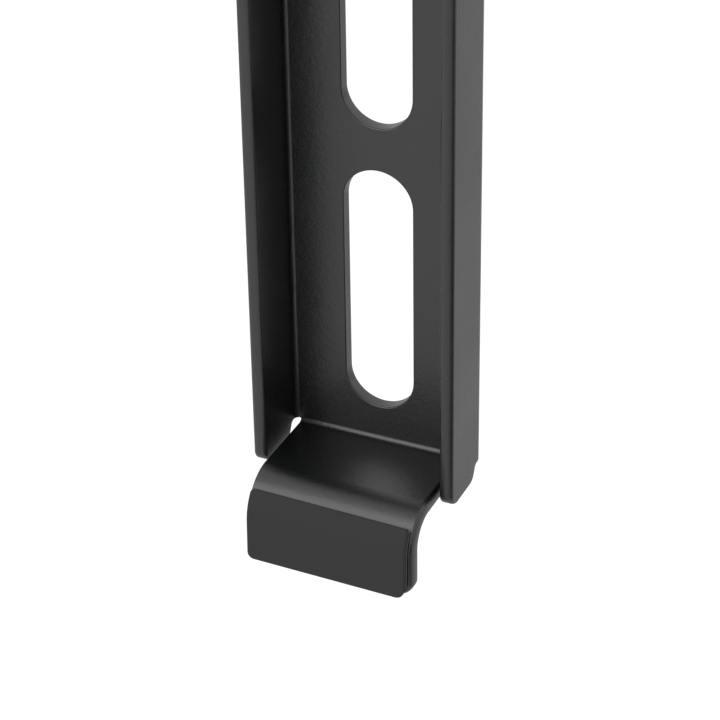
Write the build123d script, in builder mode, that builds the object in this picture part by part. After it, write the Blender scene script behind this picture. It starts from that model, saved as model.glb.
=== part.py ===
from build123d import *
import os

# Arm of a fixed television bracket, folded from one steel sheet into a channel.
# X runs across the arm, Y from the wall side to the screen side, Z up.
# The origin is the middle of the slot row, on the web's rear face, which lies on the screen.
# All sizes are in millimetres and include the powder coat.

# Sheet, with the round edges of the flanges' fronts and of the foot's face side
sheet = 1.7
bend_radius = 0.6
outer_edge_radius = 0.8
inner_edge_radius = 0.25
foot_edge_radius = 0.4

# Channel
arm_width = 26.7
flange_depth = 10.5
top_margin = 33.0
top_corner_radius = 3.0

# Slots in the web, with a rim eased by the punch
slot_count = 11
slot_pitch = 38.5
slot_width = 9.0
slot_length = 32.9
slot_rim_bevel = 0.25

# Foot, folded forward and down from the web
shelf_below_slot = 21.2
tab_side_clearance = 0.05
tab_standoff = 6.5
tab_drop = 11.1
tab_bend_radius = 3.4
tab_corner_radius = 1.8

# Lower end of each flange
flange_below_shelf = 1.6
flange_front_radius = 1.7
flange_rear_radius = 1.4

# Relief between the foot and each flange, wider towards the flange's lower edge
relief_above_shelf = 0.3
relief_depth = 2.85
relief_flare = 0.9
relief_radius = 0.6

# Hook notch near the top of each flange, for the lip of a wall rail
hook_below_top = 18.0
hook_slot_width = 3.2
hook_slot_height = 9.0
hook_slot_radius = 1.4
hook_finger = 3.0
hook_mouth_height = 12.0
hook_mouth_radius = 2.0
hook_tip_radius = 0.9

# Pad, stuck on a little off the middle, and the adhesive that holds it on the foot
pad_thickness = 0.85
pad_side_margin = 0.35
pad_offset = -0.35
pad_bottom_margin = 0.05
pad_corner_radius = 1.1
pad_wrap_angle = 42.0
adhesive_thickness = 0.15
adhesive_corner_radius = 0.5

# Places that follow from the sizes above
front_edge = -flange_depth
lowest_slot = -slot_pitch * (slot_count - 1) / 2
arm_top = -lowest_slot + top_margin
shelf_top = lowest_slot - shelf_below_slot
shelf_underside = shelf_top - sheet
flange_bottom = shelf_top - flange_below_shelf
bend_start = shelf_top + bend_radius
tab_half = arm_width / 2 - sheet - bend_radius - tab_side_clearance
tab_front = front_edge - tab_standoff
tab_back = tab_front + sheet
tab_bottom = shelf_top - tab_drop
tab_outer_radius = tab_bend_radius + sheet
tab_bend_z = shelf_top - tab_outer_radius
relief_top = shelf_top + relief_above_shelf
adhesive_front = tab_front - adhesive_thickness
adhesive_outer_radius = tab_outer_radius + adhesive_thickness
pad_front = adhesive_front - pad_thickness
pad_outer_radius = adhesive_outer_radius + pad_thickness
pad_half = tab_half - pad_side_margin
pad_bottom = tab_bottom + pad_bottom_margin
beyond = 5.0

# Channel: a U section with rolled outer edges, run to the top from below the flanges' lower edges
with BuildPart() as channel:
    with BuildSketch(Plane.XY.offset(flange_bottom - beyond)):
        with BuildLine():
            outside = FilletPolyline(
                (-arm_width / 2, front_edge),
                (-arm_width / 2, 0),
                (arm_width / 2, 0),
                (arm_width / 2, front_edge),
                radius=bend_radius + sheet,
            )
            inside = FilletPolyline(
                (-arm_width / 2 + sheet, front_edge),
                (-arm_width / 2 + sheet, -sheet),
                (arm_width / 2 - sheet, -sheet),
                (arm_width / 2 - sheet, front_edge),
                radius=bend_radius,
            )
            Line(outside @ 0, inside @ 0)
            Line(outside @ 1, inside @ 1)
        make_face()
        front_corners = vertices().group_by(Axis.Y)[0].sort_by(Axis.X)
        fillet([front_corners[0], front_corners[-1]], outer_edge_radius)
        front_corners = vertices().group_by(Axis.Y)[0].sort_by(Axis.X)
        fillet([front_corners[1], front_corners[-2]], inner_edge_radius)
    extrude(amount=arm_top - flange_bottom + beyond)

# Foot: shelf and tab, one strip of sheet with a tight bend at the web and a wide one at the tab
with BuildPart() as foot:
    with BuildSketch(Plane.YZ):
        with BuildLine():
            face_line = FilletPolyline(
                (-sheet, bend_start + sheet),
                (-sheet, shelf_top),
                (tab_front, shelf_top),
                (tab_front, tab_bottom),
                radius=[bend_radius, tab_outer_radius],
            )
            back_line = FilletPolyline(
                (0, bend_start + sheet),
                (0, shelf_underside),
                (tab_back, shelf_underside),
                (tab_back, tab_bottom),
                radius=[bend_radius + sheet, tab_bend_radius],
            )
            Line(face_line @ 0, back_line @ 0)
            Line(face_line @ 1, back_line @ 1)
        make_face()
    extrude(amount=tab_half, both=True)
    fillet(edges().filter_by(Axis.Y).group_by(Axis.Z)[0], tab_corner_radius)
    # The faces that look up or forward, without the strip's upper end, which the web covers
    bent_faces = faces().filter_by(Axis.X, reverse=True)
    face_side = bent_faces.filter_by(lambda f: f.normal_at().Z > f.normal_at().Y).sort_by(Axis.Z)[:-1]
    side_edges = face_side.edges().filter_by(Axis.X, reverse=True)
    lower_edge = face_side.edges().filter_by(Axis.X).sort_by(Axis.Z)[0]
    fillet([*side_edges, lower_edge], foot_edge_radius)

# Cutter for one side: the flange's lower edge, its rear corner and the relief beside the foot
with BuildPart() as relief:
    with BuildSketch(Plane.YZ.offset(tab_half)):
        with BuildLine():
            flange_end = FilletPolyline(
                (beyond, relief_top),
                (-relief_depth, relief_top),
                (-relief_depth - relief_flare, flange_bottom),
                (front_edge - beyond, flange_bottom),
                radius=[relief_radius, flange_rear_radius],
            )
            Polyline(
                flange_end @ 1,
                (front_edge - beyond, flange_bottom - 2 * beyond),
                (beyond, flange_bottom - 2 * beyond),
                flange_end @ 0,
            )
        make_face()
    extrude(amount=arm_width / 2 - tab_half + beyond)
    fillet(edges().filter_by(Axis.Y).group_by(Axis.Z)[-1].sort_by(Axis.X)[0], relief_radius)

# Cutter for the flanges' rounded front corners, at the arm's top and at the lower end
with BuildPart() as corner_cutter:
    with BuildSketch(Plane.YZ):
        with Locations((front_edge + top_corner_radius, arm_top - top_corner_radius)):
            Rectangle(2 * beyond, 2 * beyond, align=(Align.MAX, Align.MIN))
            Circle(top_corner_radius, mode=Mode.SUBTRACT)
        with Locations((front_edge + flange_front_radius, flange_bottom + flange_front_radius)):
            Rectangle(2 * beyond, 2 * beyond, align=(Align.MAX, Align.MAX))
            Circle(flange_front_radius, mode=Mode.SUBTRACT)
    extrude(amount=arm_width, both=True)

# Cutter for the hook notches, open to the front and running up behind a finger
with BuildPart() as hook_notch:
    slot_top = arm_top - hook_below_top
    finger_tip = slot_top - hook_slot_height
    mouth_bottom = finger_tip - hook_mouth_height
    slot_front = front_edge + hook_finger
    slot_back = slot_front + hook_slot_width
    with BuildSketch(Plane.YZ):
        with BuildLine():
            FilletPolyline(
                (front_edge - beyond, mouth_bottom),
                (slot_back, mouth_bottom),
                (slot_back, slot_top),
                (slot_front, slot_top),
                (slot_front, finger_tip),
                (front_edge - beyond, finger_tip),
                radius=[hook_mouth_radius, hook_slot_radius, hook_slot_radius, hook_tip_radius],
            )
            Line((front_edge - beyond, finger_tip), (front_edge - beyond, mouth_bottom))
        make_face()
    extrude(amount=arm_width, both=True)

# The arm: channel and foot in one, then reliefs, hook notches and slots
with BuildPart() as bracket_arm:
    add(channel.part)
    add(corner_cutter.part, mode=Mode.SUBTRACT)
    with BuildSketch(Plane.XZ):
        with Locations((0, bend_start)):
            Rectangle(2 * tab_half, 2 * beyond, align=(Align.CENTER, Align.MAX))
    extrude(amount=sheet, mode=Mode.SUBTRACT)
    add(foot.part)
    add(relief.part, mode=Mode.SUBTRACT)
    add(relief.part.mirror(Plane.YZ), mode=Mode.SUBTRACT)
    add(hook_notch.part, mode=Mode.SUBTRACT)

    with BuildSketch(Plane.XZ):
        with GridLocations(0, slot_pitch, 1, slot_count):
            SlotOverall(slot_length, slot_width, rotation=90)
    extrude(amount=sheet, mode=Mode.SUBTRACT)
    chamfer(edges(Select.LAST).group_by(Axis.Y)[0], slot_rim_bevel)

bracket_arm.part.label = "bracket_arm"

# Adhesive film on the tab's face, up round part of the wide bend
with BuildPart() as pad_adhesive:
    with BuildSketch(Plane.YZ.offset(pad_offset)):
        with BuildLine():
            tab_side = Line((tab_front, pad_bottom), (tab_front, tab_bend_z))
            tab_side_bend = JernArc(tab_side @ 1, (0, 1), tab_outer_radius, -pad_wrap_angle)
            pad_side = Line((adhesive_front, pad_bottom), (adhesive_front, tab_bend_z))
            pad_side_bend = JernArc(pad_side @ 1, (0, 1), adhesive_outer_radius, -pad_wrap_angle)
            Line(tab_side @ 0, pad_side @ 0)
            Line(tab_side_bend @ 1, pad_side_bend @ 1)
        make_face()
    extrude(amount=pad_half, both=True)
    fillet(edges().sort_by(SortBy.LENGTH)[:4], adhesive_corner_radius)

pad_adhesive.part.label = "pad_adhesive"

# Pad on the film, the same length and width but with rounder corners
with BuildPart() as foot_pad:
    with BuildSketch(Plane.YZ.offset(pad_offset)):
        with BuildLine():
            film_side = Line((adhesive_front, pad_bottom), (adhesive_front, tab_bend_z))
            film_side_bend = JernArc(film_side @ 1, (0, 1), adhesive_outer_radius, -pad_wrap_angle)
            front_side = Line((pad_front, pad_bottom), (pad_front, tab_bend_z))
            front_side_bend = JernArc(front_side @ 1, (0, 1), pad_outer_radius, -pad_wrap_angle)
            Line(film_side @ 0, front_side @ 0)
            Line(film_side_bend @ 1, front_side_bend @ 1)
        make_face()
    extrude(amount=pad_half, both=True)
    fillet(edges().sort_by(SortBy.LENGTH)[:4], pad_corner_radius)

foot_pad.part.label = "foot_pad"

os.makedirs("parts", exist_ok=True)
export_step(bracket_arm.part, "parts/bracket_arm.step")
export_step(pad_adhesive.part, "parts/pad_adhesive.step")
export_step(foot_pad.part, "parts/foot_pad.step")
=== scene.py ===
from math import asin, ceil, cos, pi, radians, sin, tan

import bmesh
import bpy
from mathutils import Matrix, Vector


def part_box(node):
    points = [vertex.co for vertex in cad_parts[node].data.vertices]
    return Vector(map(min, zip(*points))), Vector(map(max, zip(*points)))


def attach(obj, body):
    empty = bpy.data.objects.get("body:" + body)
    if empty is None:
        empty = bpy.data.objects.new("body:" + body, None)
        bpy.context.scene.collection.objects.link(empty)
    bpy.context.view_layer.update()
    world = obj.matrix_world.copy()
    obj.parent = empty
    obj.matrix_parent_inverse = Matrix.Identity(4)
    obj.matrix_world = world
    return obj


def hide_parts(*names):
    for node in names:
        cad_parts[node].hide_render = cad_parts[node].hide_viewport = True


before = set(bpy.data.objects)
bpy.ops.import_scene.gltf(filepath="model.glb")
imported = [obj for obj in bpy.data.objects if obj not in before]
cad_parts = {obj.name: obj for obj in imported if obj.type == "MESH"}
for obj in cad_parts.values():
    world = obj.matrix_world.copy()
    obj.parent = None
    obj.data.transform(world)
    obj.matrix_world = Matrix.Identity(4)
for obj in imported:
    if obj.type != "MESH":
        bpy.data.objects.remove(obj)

# One arm of a fixed tv bracket: a slotted channel folded from powder coated sheet, with a padded foot.
# Lengths are in millimetres until a piece is folded, and in metres from then on.
mm = 0.001
scene = bpy.context.scene
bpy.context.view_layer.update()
armLow, armHigh = (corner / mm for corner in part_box("bracket_arm"))
padLow, padHigh = (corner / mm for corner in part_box("foot_pad"))
filmLow, filmHigh = (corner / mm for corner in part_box("pad_adhesive"))

# The sheet and how it is folded
arm = {
    "sheet": 1.7,
    "bendRadius": 0.6,  # inside the two long bends and the fold above the shelf
    "flangeDepth": 10.5,
    "shelfBelowSlot": 21.2,
    "flangeBelowShelf": 1.6,
    "rootLeft": 11.0,  # the foot's reach from the middle where it leaves the web
    "rootRight": 10.95,
    "tabLeft": 11.25,  # and at the tab's end, which lies a little to the left
    "tabRight": 10.9,
    "tabBendRadius": 3.4,
    "tabCornerRadius": 1.8,
    "reliefAboveShelf": 0.3,
    "reliefDepth": 2.85,
    "reliefFlare": 0.9,
    "reliefRadius": 0.6,
    "flangeRearRadius": 1.4,
    "flangeFrontRadius": 1.7,
    "topRadius": 3.0,
    "edgeSteps": 6,
    "bendSteps": 12,
    "tabBendSteps": 24,
}
# How far each cut edge is rolled, in and then down the sheet: first on the rear or outer face,
# then on the front or inner one
edgeRolls = {
    "tabEnd": (0.10, 0.10, 0.20, 0.30),
    "footLeft": (0.10, 0.10, 0.15, 0.30),
    "footRight": (0.10, 0.15, 0.50, 1.25),
    "relief": (0.10, 0.10, 0.10, 0.10),
    "flangeEnd": (0.12, 0.12, 0.20, 0.20),
    "flangeFrontLeft": (0.32, 0.70, 0.35, 0.70),
    "flangeFrontRight": (0.60, 1.00, 0.32, 0.60),
    "hook": (0.30, 0.30, 0.25, 0.25),
    "webTop": (0.12, 0.12, 0.40, 0.40),
    "slot": (0.08, 0.08, 0.18, 0.18),
}
slots = {
    "count": 11,
    "pitch": 38.5,
    "width": 9.0,
    "length": 32.9,
    "pastFace": 0.004,  # how far the punch's rims stand past the sheet's faces
    "endSteps": 40,
}
hook = {
    "belowTop": 18.0,
    "slotWidth": 3.2,
    "slotHeight": 9.0,
    "slotRadius": 1.4,
    "finger": 3.0,
    "mouthHeight": 12.0,
    "mouthRadius": 2.0,
    "tipRadius": 0.9,
    "frontRadius": 1.0,
}

# Places that follow from the sizes above
sheet = arm["sheet"]
bendOuter = arm["bendRadius"] + sheet
bendMiddle = arm["bendRadius"] + sheet / 2
bendLength = pi / 2 * bendMiddle
webHalf = armHigh.x - bendOuter
flangeLength = arm["flangeDepth"] - bendOuter
blankHalf = webHalf + bendLength + flangeLength
lowestSlot = -slots["pitch"] * (slots["count"] - 1) / 2
shelfTop = lowestSlot - arm["shelfBelowSlot"]
foldTop = shelfTop + arm["bendRadius"]
flangeBottom = shelfTop - arm["flangeBelowShelf"]
tabBendOuter = arm["tabBendRadius"] + sheet
tabBendMiddle = arm["tabBendRadius"] + sheet / 2
tabBendLength = pi / 2 * tabBendMiddle
tabBendY = armLow.y + tabBendOuter
tabBendZ = shelfTop - tabBendOuter
shelfLength = -bendOuter - tabBendY
shelfEnd = foldTop - bendLength - shelfLength
tabLength = tabBendZ - armLow.z
footEnd = shelfEnd - tabBendLength - tabLength


# Outlines and plates

drawing = {
    "arcStep": 0.12,
    "arcTurn": 9.0,  # degrees
    "leastSteps": 3,
    "sharpest": 0.3,  # at a corner an inset grows to at most the inset divided by this
    "onLine": 0.004,  # a vertex this near a bend line is taken as on it
}


def roundedOutline(corners):
    # corners are (across, along, radius, rolls of the edge that follows), counter-clockwise
    points, rolls = [], []
    count = len(corners)
    for i, (x, y, radius, edge) in enumerate(corners):
        here = Vector((x, y))
        back = (Vector(corners[i - 1][:2]) - here).normalized()
        ahead = (Vector(corners[(i + 1) % count][:2]) - here).normalized()
        half = back.angle(ahead) / 2
        centre = here + (back + ahead).normalized() * radius / sin(half)
        start = here + back * radius / tan(half) - centre
        turn = start.angle_signed(here + ahead * radius / tan(half) - centre)
        byLength = ceil(abs(turn) * radius / drawing["arcStep"])
        byTurn = ceil(abs(turn) / radians(drawing["arcTurn"]))
        steps = max(drawing["leastSteps"], byLength, byTurn)
        for k in range(steps + 1):
            arc = Matrix.Rotation(-turn * k / steps, 2)
            points.append(centre + arc @ start)
            rolls.append(Vector(corners[i - 1][3]).lerp(Vector(edge), k / steps))
    return points, rolls


def insetOutline(points, insets):
    moved = []
    for i, here in enumerate(points):
        before = (here - points[i - 1]).normalized()
        after = (points[(i + 1) % len(points)] - here).normalized()
        inward = Vector((-before.y - after.y, before.x + after.x)).normalized()
        slant = max(drawing["sharpest"], inward.dot(Vector((-before.y, before.x))))
        moved.append(here + inward * insets[i] / slant)
    return moved


def edgeProfile(rolls, thickness, steps):
    # an edge's inset and height, from the rear face round to the front one
    rearIn, rearUp, frontIn, frontDown = rolls
    turns = [pi / 2 * k / steps for k in range(steps + 1)]
    rear = [(rearIn * (1 - sin(turn)), rearUp * (1 - cos(turn))) for turn in turns]
    front = [(frontIn * (1 - cos(turn)), thickness - frontDown * (1 - sin(turn))) for turn in turns]
    return rear + front


def ringSolid(bm, loops):
    # closed loops of equal length, joined in order and capped at both ends
    rows = [[bm.verts.new(point) for point in loop] for loop in loops]
    count = len(rows[0])
    for low, high in zip(rows, rows[1:]):
        for i in range(count):
            j = (i + 1) % count
            bm.faces.new((low[i], low[j], high[j], high[i]))
    bm.faces.new(list(reversed(rows[0])))
    bm.faces.new(rows[-1])


def plate(corners, thickness, steps):
    # a flat sheet cut to an outline, with its edges rolled on both faces
    points, rolls = roundedOutline(corners)
    profiles = [edgeProfile(roll, thickness, steps) for roll in rolls]
    loops = []
    for ring in zip(*profiles):
        insets, heights = zip(*ring)
        loops.append([(p.x, p.y, height) for p, height in zip(insetOutline(points, insets), heights)])
    bm = bmesh.new()
    ringSolid(bm, loops)
    return bm


def newObject(name, bm):
    mesh = bpy.data.meshes.new(name)
    bm.to_mesh(mesh)
    bm.free()
    piece = bpy.data.objects.new(name, mesh)
    scene.collection.objects.link(piece)
    return piece


def bendLines(bm, axis, lines):
    # edges across the flat mesh, so that it can bend there
    across = Vector((0, 0, 0))
    across[axis] = 1
    for line in lines:
        everything = bm.verts[:] + bm.edges[:] + bm.faces[:]
        where = {"plane_co": across * line, "plane_no": across}
        bmesh.ops.bisect_plane(bm, geom=everything, dist=drawing["onLine"], **where)


def finishMesh(piece, fold, material):
    mesh = piece.data
    for vertex in mesh.vertices:
        vertex.co = fold(*vertex.co) * mm
    mesh.shade_smooth()
    mesh.materials.clear()
    mesh.materials.append(material)
    normals = piece.modifiers.new("flatFacesFirst", "WEIGHTED_NORMAL")
    normals.mode = "FACE_AREA_WITH_ANGLE"
    normals.keep_sharp = False


# The surface group that the finishes share

grainNoise = {
    "coarseDetail": 2.0,
    "fineDetail": 3.0,
    "patchScale": 90.0,
    "patchDetail": 4.0,
    "patchRange": (0.3, 0.7),  # what the patches' noise mostly stays within
}


def fineGrainGroup():
    group = bpy.data.node_groups.new("fineGrain", "ShaderNodeTree")
    side = group.interface
    side.new_socket("Coordinates", in_out="INPUT", socket_type="NodeSocketVector")
    for name, value in (("Coarse Scale", 1500.0), ("Fine Scale", 6000.0), ("Fine Share", 0.4)):
        side.new_socket(name, in_out="INPUT", socket_type="NodeSocketFloat").default_value = value
    side.new_socket("Height", in_out="OUTPUT", socket_type="NodeSocketFloat")
    side.new_socket("Patches", in_out="OUTPUT", socket_type="NodeSocketFloat")
    nodes, links = group.nodes, group.links
    given = nodes.new("NodeGroupInput")
    result = nodes.new("NodeGroupOutput")
    coarse = nodes.new("ShaderNodeTexNoise")
    coarse.inputs["Detail"].default_value = grainNoise["coarseDetail"]
    fine = nodes.new("ShaderNodeTexNoise")
    fine.inputs["Detail"].default_value = grainNoise["fineDetail"]
    blend = nodes.new("ShaderNodeMix")
    broad = nodes.new("ShaderNodeTexNoise")
    broad.inputs["Scale"].default_value = grainNoise["patchScale"]
    broad.inputs["Detail"].default_value = grainNoise["patchDetail"]
    for noise in (coarse, fine, broad):
        links.new(given.outputs["Coordinates"], noise.inputs["Vector"])
    links.new(given.outputs["Coarse Scale"], coarse.inputs["Scale"])
    links.new(given.outputs["Fine Scale"], fine.inputs["Scale"])
    links.new(given.outputs["Fine Share"], blend.inputs["Factor"])
    links.new(coarse.outputs["Fac"], blend.inputs["A"])
    links.new(fine.outputs["Fac"], blend.inputs["B"])
    links.new(blend.outputs["Result"], result.inputs["Height"])
    links.new(broad.outputs["Fac"], result.inputs["Patches"])
    return group


fineGrain = fineGrainGroup()


def makeFinish(name, look):
    material = bpy.data.materials.new(name)
    material.use_nodes = True
    nodes, links = material.node_tree.nodes, material.node_tree.links
    shader = nodes["Principled BSDF"]
    shader.inputs["Specular IOR Level"].default_value = look["specular"]
    place = nodes.new("ShaderNodeTexCoord")
    grain = nodes.new("ShaderNodeGroup")
    grain.node_tree = fineGrain
    grain.inputs["Coarse Scale"].default_value = look["coarseScale"]
    grain.inputs["Fine Scale"].default_value = look["fineScale"]
    grain.inputs["Fine Share"].default_value = look["fineShare"]
    links.new(place.outputs["Object"], grain.inputs["Coordinates"])
    colour = nodes.new("ShaderNodeMix")
    colour.data_type = "RGBA"
    colour.inputs["A"].default_value = (*look["dark"], 1)
    colour.inputs["B"].default_value = (*look["light"], 1)
    links.new(grain.outputs["Patches"], colour.inputs["Factor"])
    links.new(colour.outputs["Result"], shader.inputs["Base Color"])
    gloss = nodes.new("ShaderNodeMapRange")
    limits = (*grainNoise["patchRange"], *look["roughness"])
    for limit, value in zip(("From Min", "From Max", "To Min", "To Max"), limits):
        gloss.inputs[limit].default_value = value
    links.new(grain.outputs["Patches"], gloss.inputs["Value"])
    links.new(gloss.outputs["Result"], shader.inputs["Roughness"])
    bump = nodes.new("ShaderNodeBump")
    bump.inputs["Strength"].default_value = look["bump"]
    bump.inputs["Distance"].default_value = look["bumpDepth"] * mm
    links.new(grain.outputs["Height"], bump.inputs["Height"])
    links.new(bump.outputs["Normal"], shader.inputs["Normal"])
    return material


powderCoat = makeFinish("powderCoat", {
    "dark": (0.0030, 0.0038, 0.0036),
    "light": (0.0044, 0.0053, 0.0050),
    "specular": 0.80,
    "roughness": (0.30, 0.36),
    "coarseScale": 1500.0,
    "fineScale": 6000.0,
    "fineShare": 0.35,
    "bump": 1.0,
    "bumpDepth": 0.036,
})
padRubber = makeFinish("padRubber", {
    "dark": (0.030, 0.030, 0.031),
    "light": (0.036, 0.036, 0.036),
    "specular": 0.3,
    "roughness": (0.78, 0.86),
    "coarseScale": 4000.0,
    "fineScale": 12000.0,
    "fineShare": 0.6,
    "bump": 1.0,
    "bumpDepth": 0.03,
})
paleFilm = makeFinish("paleFilm", {
    "dark": (0.11, 0.11, 0.11),
    "light": (0.22, 0.22, 0.21),
    "specular": 0.4,
    "roughness": (0.5, 0.6),
    "coarseScale": 2500.0,
    "fineScale": 9000.0,
    "fineShare": 0.5,
    "bump": 0.4,
    "bumpDepth": 0.01,
})
print("finishes made")


# The arm's blank, slotted flat and then folded

def flangeAt(depth):
    # across the blank, the line that ends up this deep in front of the web's rear face
    return webHalf + bendLength + depth - bendOuter


def sideCorners(side):
    # the right half of the blank, from the tab's end up to the top
    flangeFront = "flangeFront" + side
    slotTop = armHigh.z - hook["belowTop"]
    fingerTip = slotTop - hook["slotHeight"]
    mouthBottom = fingerTip - hook["mouthHeight"]
    slotFront = flangeAt(arm["flangeDepth"] - hook["finger"])
    slotBack = flangeAt(arm["flangeDepth"] - hook["finger"] - hook["slotWidth"])
    reliefTop = shelfTop + arm["reliefAboveShelf"]
    reliefInner = flangeAt(arm["reliefDepth"])
    reliefOuter = flangeAt(arm["reliefDepth"] + arm["reliefFlare"])
    return [
        (arm["tab" + side], footEnd, arm["tabCornerRadius"], "foot" + side),
        (arm["root" + side], reliefTop, arm["reliefRadius"], "relief"),
        (reliefInner, reliefTop, arm["reliefRadius"], "relief"),
        (reliefOuter, flangeBottom, arm["flangeRearRadius"], "flangeEnd"),
        (blankHalf, flangeBottom, arm["flangeFrontRadius"], flangeFront),
        (blankHalf, mouthBottom, hook["frontRadius"], "hook"),
        (slotBack, mouthBottom, hook["mouthRadius"], "hook"),
        (slotBack, slotTop, hook["slotRadius"], "hook"),
        (slotFront, slotTop, hook["slotRadius"], "hook"),
        (slotFront, fingerTip, hook["tipRadius"], "hook"),
        (blankHalf, fingerTip, hook["frontRadius"], flangeFront),
        (blankHalf, armHigh.z, arm["topRadius"], "webTop"),
    ]


def blankCorners():
    right = sideCorners("Right")
    left = sideCorners("Left")
    # mirrored, the edge that follows a corner is the one that came before it
    before = ["tabEnd"] + [corner[3] for corner in left[:-1]]
    left = [(-x, y, radius, edge) for (x, y, radius, _), edge in zip(left, before)]
    return [(x, y, radius, edgeRolls[edge]) for x, y, radius, edge in right + left[::-1]]


def slotLoop(outset, height):
    straight = (slots["length"] - slots["width"]) / 2
    radius = slots["width"] / 2 + outset
    steps = slots["endSteps"]
    loop = []
    for end, start in ((straight, 0), (-straight, pi)):
        for k in range(steps + 1):
            turn = start + pi * k / steps
            loop.append((radius * cos(turn), end + radius * sin(turn), height))
    return loop


def slotPunch():
    # the slot's own rolled rims, and a straight run out past each face of the sheet
    rims = edgeProfile(edgeRolls["slot"], sheet, arm["edgeSteps"])
    rearOut, frontOut = rims[0][0], rims[-1][0]
    rims[0] = (rearOut, -slots["pastFace"])
    rims[-1] = (frontOut, sheet + slots["pastFace"])
    rings = [(rearOut, -sheet), *rims, (frontOut, 2 * sheet)]
    bm = bmesh.new()
    ringSolid(bm, [slotLoop(outset, height) for outset, height in rings])
    return newObject("slotPunch", bm)


def slotRowTree():
    tree = bpy.data.node_groups.new("slotRow", "GeometryNodeTree")
    side = tree.interface
    side.new_socket("Geometry", in_out="INPUT", socket_type="NodeSocketGeometry")
    side.new_socket("Blank", in_out="INPUT", socket_type="NodeSocketObject")
    side.new_socket("Slots", in_out="INPUT", socket_type="NodeSocketInt").default_value = 5
    side.new_socket("Pitch", in_out="INPUT", socket_type="NodeSocketFloat").default_value = 40.0
    side.new_socket("First Slot", in_out="INPUT", socket_type="NodeSocketFloat").default_value = 0.0
    side.new_socket("Finish", in_out="INPUT", socket_type="NodeSocketMaterial")
    side.new_socket("Geometry", in_out="OUTPUT", socket_type="NodeSocketGeometry")
    nodes, links = tree.nodes, tree.links
    given = nodes.new("NodeGroupInput")
    result = nodes.new("NodeGroupOutput")
    firstPlace = nodes.new("ShaderNodeCombineXYZ")
    nextPlace = nodes.new("ShaderNodeCombineXYZ")
    row = nodes.new("GeometryNodeMeshLine")
    row.mode = "OFFSET"
    copies = nodes.new("GeometryNodeInstanceOnPoints")
    punches = nodes.new("GeometryNodeRealizeInstances")
    blank = nodes.new("GeometryNodeObjectInfo")
    punched = nodes.new("GeometryNodeMeshBoolean")
    punched.operation = "DIFFERENCE"
    punched.solver = "EXACT"
    solid = nodes.new("GeometryNodeRealizeInstances")
    coated = nodes.new("GeometryNodeSetMaterial")
    links.new(given.outputs["First Slot"], firstPlace.inputs["Y"])
    links.new(given.outputs["Pitch"], nextPlace.inputs["Y"])
    links.new(given.outputs["Slots"], row.inputs["Count"])
    links.new(firstPlace.outputs["Vector"], row.inputs["Start Location"])
    links.new(nextPlace.outputs["Vector"], row.inputs["Offset"])
    links.new(row.outputs["Mesh"], copies.inputs["Points"])
    links.new(given.outputs["Geometry"], copies.inputs["Instance"])
    links.new(copies.outputs["Instances"], punches.inputs["Geometry"])
    links.new(given.outputs["Blank"], blank.inputs["Object"])
    links.new(blank.outputs["Geometry"], punched.inputs["Mesh 1"])
    links.new(punches.outputs["Geometry"], punched.inputs["Mesh 2"])
    links.new(punched.outputs["Mesh"], solid.inputs["Geometry"])
    links.new(solid.outputs["Geometry"], coated.inputs["Geometry"])
    links.new(given.outputs["Finish"], coated.inputs["Material"])
    links.new(coated.outputs["Geometry"], result.inputs["Geometry"])
    return tree


def setInputs(modifier, values):
    for item in modifier.node_group.interface.items_tree:
        if item.in_out == "INPUT" and item.name in values:
            modifier[item.identifier] = values[item.name]


def punchedMesh():
    blank = newObject("armBlank", plate(blankCorners(), sheet, arm["edgeSteps"]))
    punch = slotPunch()
    modifier = punch.modifiers.new("slotRow", "NODES")
    modifier.node_group = slotRowTree()
    setInputs(modifier, {
        "Blank": blank,
        "Slots": slots["count"],
        "Pitch": slots["pitch"],
        "First Slot": lowestSlot,
        "Finish": powderCoat,
    })
    graph = bpy.context.evaluated_depsgraph_get()
    mesh = bpy.data.meshes.new_from_object(punch.evaluated_get(graph))
    punch.modifiers.clear()
    bpy.data.objects.remove(punch)
    bpy.data.objects.remove(blank)
    return mesh


def foldFoot(across, along, height):
    run = foldTop - along
    if run < bendLength:
        turn = run / bendMiddle
        radius = bendOuter - height
        return Vector((across, -bendOuter + radius * cos(turn), foldTop - radius * sin(turn)))
    run -= bendLength
    if run < shelfLength:
        return Vector((across, -bendOuter - run, shelfTop - sheet + height))
    run -= shelfLength
    radius = arm["tabBendRadius"] + height
    if run < tabBendLength:
        turn = run / tabBendMiddle
        return Vector((across, tabBendY - radius * sin(turn), tabBendZ + radius * cos(turn)))
    return Vector((across, tabBendY - radius, tabBendZ - (run - tabBendLength)))


def foldFlange(across, along, height):
    run = abs(across) - webHalf
    if run <= 0:
        return Vector((across, -height, along))
    side = 1 if across > 0 else -1
    radius = bendOuter - height
    turn = min(run / bendMiddle, pi / 2)
    flat = max(run - bendLength, 0)
    return Vector((side * (webHalf + radius * sin(turn)), -bendOuter + radius * cos(turn) - flat, along))


def foldArm(across, along, height):
    # round the relief's root the sheet passes smoothly from the foot's fold to the flange's
    side = "Right" if across > 0 else "Left"
    down = min(max((shelfTop - along) / (shelfTop - footEnd), 0), 1)
    footHalf = arm["root" + side] * (1 - down) + arm["tab" + side] * down
    past = max(abs(across) - footHalf, 0) / arm["reliefRadius"]
    if along >= foldTop or past >= 1:
        return foldFlange(across, along, height)
    share = past ** 2 * (3 - 2 * past)
    return foldFoot(across, along, height).lerp(foldFlange(across, along, height), share)


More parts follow.
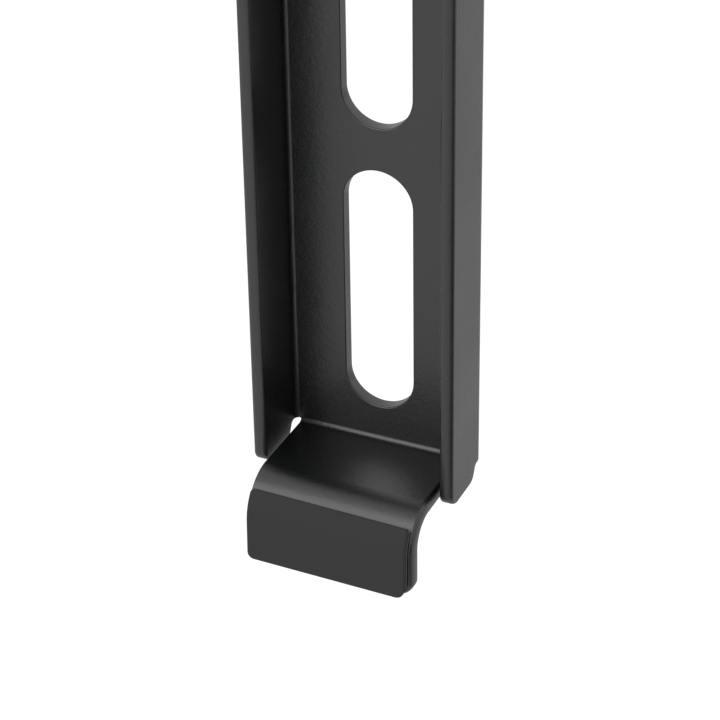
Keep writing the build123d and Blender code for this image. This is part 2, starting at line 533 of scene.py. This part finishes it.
def makeArm():
    bm = bmesh.new()
    bm.from_mesh(punchedMesh())
    bmesh.ops.triangulate(bm, faces=bm.faces[:])
    steps, tabSteps = arm["bendSteps"], arm["tabBendSteps"]
    longBend = [webHalf + bendLength * k / steps for k in range(steps + 1)]
    bendLines(bm, 0, longBend + [-line for line in longBend])
    bendLines(bm, 1, [foldTop - bendLength * k / steps for k in range(steps + 1)])
    bendLines(bm, 1, [shelfEnd - tabBendLength * k / tabSteps for k in range(tabSteps + 1)])
    piece = newObject("bracketArm", bm)
    finishMesh(piece, foldArm, powderCoat)
    return piece


bracketArm = makeArm()
print("arm folded", len(bracketArm.data.polygons), "faces")


# The pad and its film, wrapped part of the way round the tab's bend

layers = {
    "askew": -0.017,  # how far they were turned as they were stuck on, in radians
    "edgeSteps": 4,
    "bendSteps": 24,
}
# Corner radii go from the lower left one round to the upper left one, and the rolls are as on the arm
pad = {"corners": (0.9, 1.2, 0.6, 0.6), "rolls": (0.10, 0.08, 0.16, 0.16)}
film = {"corners": (0.9, 1.3, 0.15, 0.15), "rolls": (0.06, 0.04, 0.08, 0.08)}


def layerCorners(low, high, wrapLength, look):
    # a rectangle turned within its own box, and so a little smaller than the box
    turned, slant = Matrix.Rotation(layers["askew"], 2), abs(sin(layers["askew"]))
    middle = Vector(((low.x + high.x) / 2, (low.z - tabBendZ + wrapLength) / 2))
    halfWide, halfTall = (high.x - low.x) / 2, (wrapLength - low.z + tabBendZ) / 2
    wide, tall = halfWide - halfTall * slant, halfTall - halfWide * slant
    corners = []
    for (x, y), radius in zip(((-1, -1), (1, -1), (1, 1), (-1, 1)), look["corners"]):
        corner = middle + turned @ Vector((x * wide, y * tall))
        corners.append((corner.x, corner.y, radius, look["rolls"]))
    return corners


def makeLayer(name, low, high, baseRadius, look, material):
    outerRadius = tabBendY - low.y
    wrapLength = baseRadius * asin((high.z - tabBendZ) / outerRadius)
    corners = layerCorners(low, high, wrapLength, look)
    bm = plate(corners, outerRadius - baseRadius, layers["edgeSteps"])
    bmesh.ops.triangulate(bm, faces=bm.faces[:])
    steps = layers["bendSteps"]
    bendLines(bm, 1, [wrapLength * k / steps for k in range(steps)])
    piece = newObject(name, bm)

    def fold(across, along, height):
        turn = max(along, 0) / baseRadius
        reach = baseRadius + height
        return Vector((across, tabBendY - reach * cos(turn), tabBendZ + reach * sin(turn) + min(along, 0)))

    finishMesh(piece, fold, material)
    return piece


padAdhesive = makeLayer("padAdhesive", filmLow, filmHigh, tabBendOuter, film, paleFilm)
footPad = makeLayer("footPad", padLow, padHigh, tabBendY - filmLow.y, pad, padRubber)
print("pad and film laid on")

for piece, node, slotName in (
    (bracketArm, "bracket_arm", "powder_coat"),
    (footPad, "foot_pad", "pad"),
    (padAdhesive, "pad_adhesive", "adhesive"),
):
    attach(piece, "root")
    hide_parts(node)


# Floor, card, world and lamp, in metres

studio = {
    "floorDrop": 0.22,  # below the tab
    "floorSize": 8.0,
    "floorColour": (0.80, 0.80, 0.80),
    "floorSpecular": 0.1,
    "floorSeen": 0.50,  # what the camera sees on top of the lit floor, up to white
    "floorMirrored": 0.14,  # and what the coat's gloss sees on top of it
    "matteRoughness": 0.9,
    "worldLight": 0.55,
    "background": 1.0,
}
# painted shade in reflections: a dark sheet on the floor that only the coat's gloss sees
darkCard = {
    "distance": 0.60,
    "turn": -24.0,  # degrees from straight out to the right
    "length": 0.64,
    "width": 0.50,
    "lift": 0.002,  # above the floor
    "colour": (0.02, 0.02, 0.02),
    "specular": 0.5,
}
floorHeight = armLow.z * mm - studio["floorDrop"]


def matteMaterial(name, colour, specular):
    material = bpy.data.materials.new(name)
    material.use_nodes = True
    matte = material.node_tree.nodes["Principled BSDF"]
    matte.inputs["Base Color"].default_value = (*colour, 1)
    matte.inputs["Roughness"].default_value = studio["matteRoughness"]
    matte.inputs["Specular IOR Level"].default_value = specular
    return material


def levelSheet(name, length, width, place, material):
    bm = bmesh.new()
    bmesh.ops.create_grid(bm, x_segments=1, y_segments=1, size=0.5)
    bmesh.ops.transform(bm, matrix=place @ Matrix.Diagonal((length, width, 1, 1)), verts=bm.verts[:])
    piece = newObject(name, bm)
    piece.data.materials.append(material)
    return piece


def makeFloor():
    material = matteMaterial("paleFloor", studio["floorColour"], studio["floorSpecular"])
    nodes, links = material.node_tree.nodes, material.node_tree.links
    glow = nodes.new("ShaderNodeEmission")
    path = nodes.new("ShaderNodeLightPath")
    mirrored = nodes.new("ShaderNodeMath")
    mirrored.operation = "MAXIMUM"
    faint = nodes.new("ShaderNodeMath")
    faint.operation = "MULTIPLY"
    faint.inputs[1].default_value = studio["floorMirrored"]
    strength = nodes.new("ShaderNodeMath")
    strength.operation = "MULTIPLY_ADD"
    strength.inputs[1].default_value = studio["floorSeen"]
    links.new(path.outputs["Is Glossy Ray"], mirrored.inputs[0])
    links.new(path.outputs["Is Transmission Ray"], mirrored.inputs[1])
    links.new(mirrored.outputs[0], faint.inputs[0])
    links.new(path.outputs["Is Camera Ray"], strength.inputs[0])
    links.new(faint.outputs[0], strength.inputs[2])
    links.new(strength.outputs[0], glow.inputs["Strength"])
    lit = nodes.new("ShaderNodeAddShader")
    links.new(nodes["Principled BSDF"].outputs["BSDF"], lit.inputs[0])
    links.new(glow.outputs["Emission"], lit.inputs[1])
    links.new(lit.outputs["Shader"], nodes["Material Output"].inputs["Surface"])
    place = Matrix.Translation((0, 0, floorHeight))
    floor = levelSheet("floor", studio["floorSize"], studio["floorSize"], place, material)


def makeReflectedShadeCard():
    # painted shade in reflections: only reflections see this dark sheet, and it gives the dark line beside
    # the right flange's front edge
    out = Matrix.Translation((darkCard["distance"], 0, floorHeight + darkCard["lift"]))
    place = Matrix.Rotation(radians(darkCard["turn"]), 4, "Z") @ out
    material = matteMaterial("darkCard", darkCard["colour"], darkCard["specular"])
    piece = levelSheet("darkCard", darkCard["length"], darkCard["width"], place, material)
    piece.visible_camera = False
    piece.visible_diffuse = False
    piece.visible_shadow = False


def makeWorld():
    world = bpy.data.worlds.new("paleRoom")
    scene.world = world
    world.use_nodes = True
    nodes, links = world.node_tree.nodes, world.node_tree.links
    shown = nodes["Background"]
    shown.inputs["Color"].default_value = (1, 1, 1, 1)
    path = nodes.new("ShaderNodeLightPath")
    seen = nodes.new("ShaderNodeMath")
    seen.operation = "MAXIMUM"
    clear = nodes.new("ShaderNodeMath")
    clear.operation = "MAXIMUM"
    level = nodes.new("ShaderNodeMapRange")
    level.inputs["To Min"].default_value = studio["worldLight"]
    level.inputs["To Max"].default_value = studio["background"]
    links.new(path.outputs["Is Camera Ray"], seen.inputs[0])
    links.new(path.outputs["Is Glossy Ray"], seen.inputs[1])
    links.new(seen.outputs[0], clear.inputs[0])
    links.new(path.outputs["Is Transmission Ray"], clear.inputs[1])
    links.new(clear.outputs[0], level.inputs["Value"])
    links.new(level.outputs["Result"], shown.inputs["Strength"])


key = {
    "aim": (0, -0.008, shelfTop * mm),
    "towards": (-0.46, -0.74, 0.54),
    "distance": 1.5,
    "size": 1.5,
    "power": 12.0,
}


def makeKey():
    lamp = bpy.data.lights.new("keyFrontLeft", "AREA")
    lamp.shape = "SQUARE"
    lamp.size = key["size"]
    lamp.energy = key["power"]
    softbox = bpy.data.objects.new("keyFrontLeft", lamp)
    direction = Vector(key["towards"]).normalized()
    softbox.location = Vector(key["aim"]) + direction * key["distance"]
    softbox.rotation_mode = "QUATERNION"
    softbox.rotation_quaternion = direction.to_track_quat("Z", "Y")
    scene.collection.objects.link(softbox)


makeFloor()
makeReflectedShadeCard()
makeWorld()
makeKey()
print("studio lit")


# Camera at the photograph's angle, with its aim and distance in millimetres

shot = {
    "lens": 132.03,
    "sensor": 36.0,
    "aim": (-0.38, -6.59, -199.46),
    "distance": 320.03,
    "yaw": 24.68,
    "pitch": 31.57,
    "roll": -0.90,
    "nearest": 10.0,
}


def makeCamera():
    yaw, pitch, roll = (radians(shot[name]) for name in ("yaw", "pitch", "roll"))
    back = Vector((sin(yaw) * cos(pitch), -cos(yaw) * cos(pitch), sin(pitch)))
    levelRight = Vector((cos(yaw), sin(yaw), 0))
    levelUp = back.cross(levelRight)
    right = levelRight * cos(roll) + levelUp * sin(roll)
    up = levelUp * cos(roll) - levelRight * sin(roll)
    camera = bpy.data.objects.new("photoCamera", bpy.data.cameras.new("photoCamera"))
    camera.data.lens = shot["lens"]
    camera.data.sensor_width = shot["sensor"]
    camera.data.clip_start = shot["nearest"] * mm
    turned = Matrix((right, up, back)).transposed().to_4x4()
    place = (Vector(shot["aim"]) + back * shot["distance"]) * mm
    camera.matrix_world = Matrix.Translation(place) @ turned
    scene.collection.objects.link(camera)
    scene.camera = camera


makeCamera()
scene.view_settings.view_transform = "Standard"
print("camera placed")
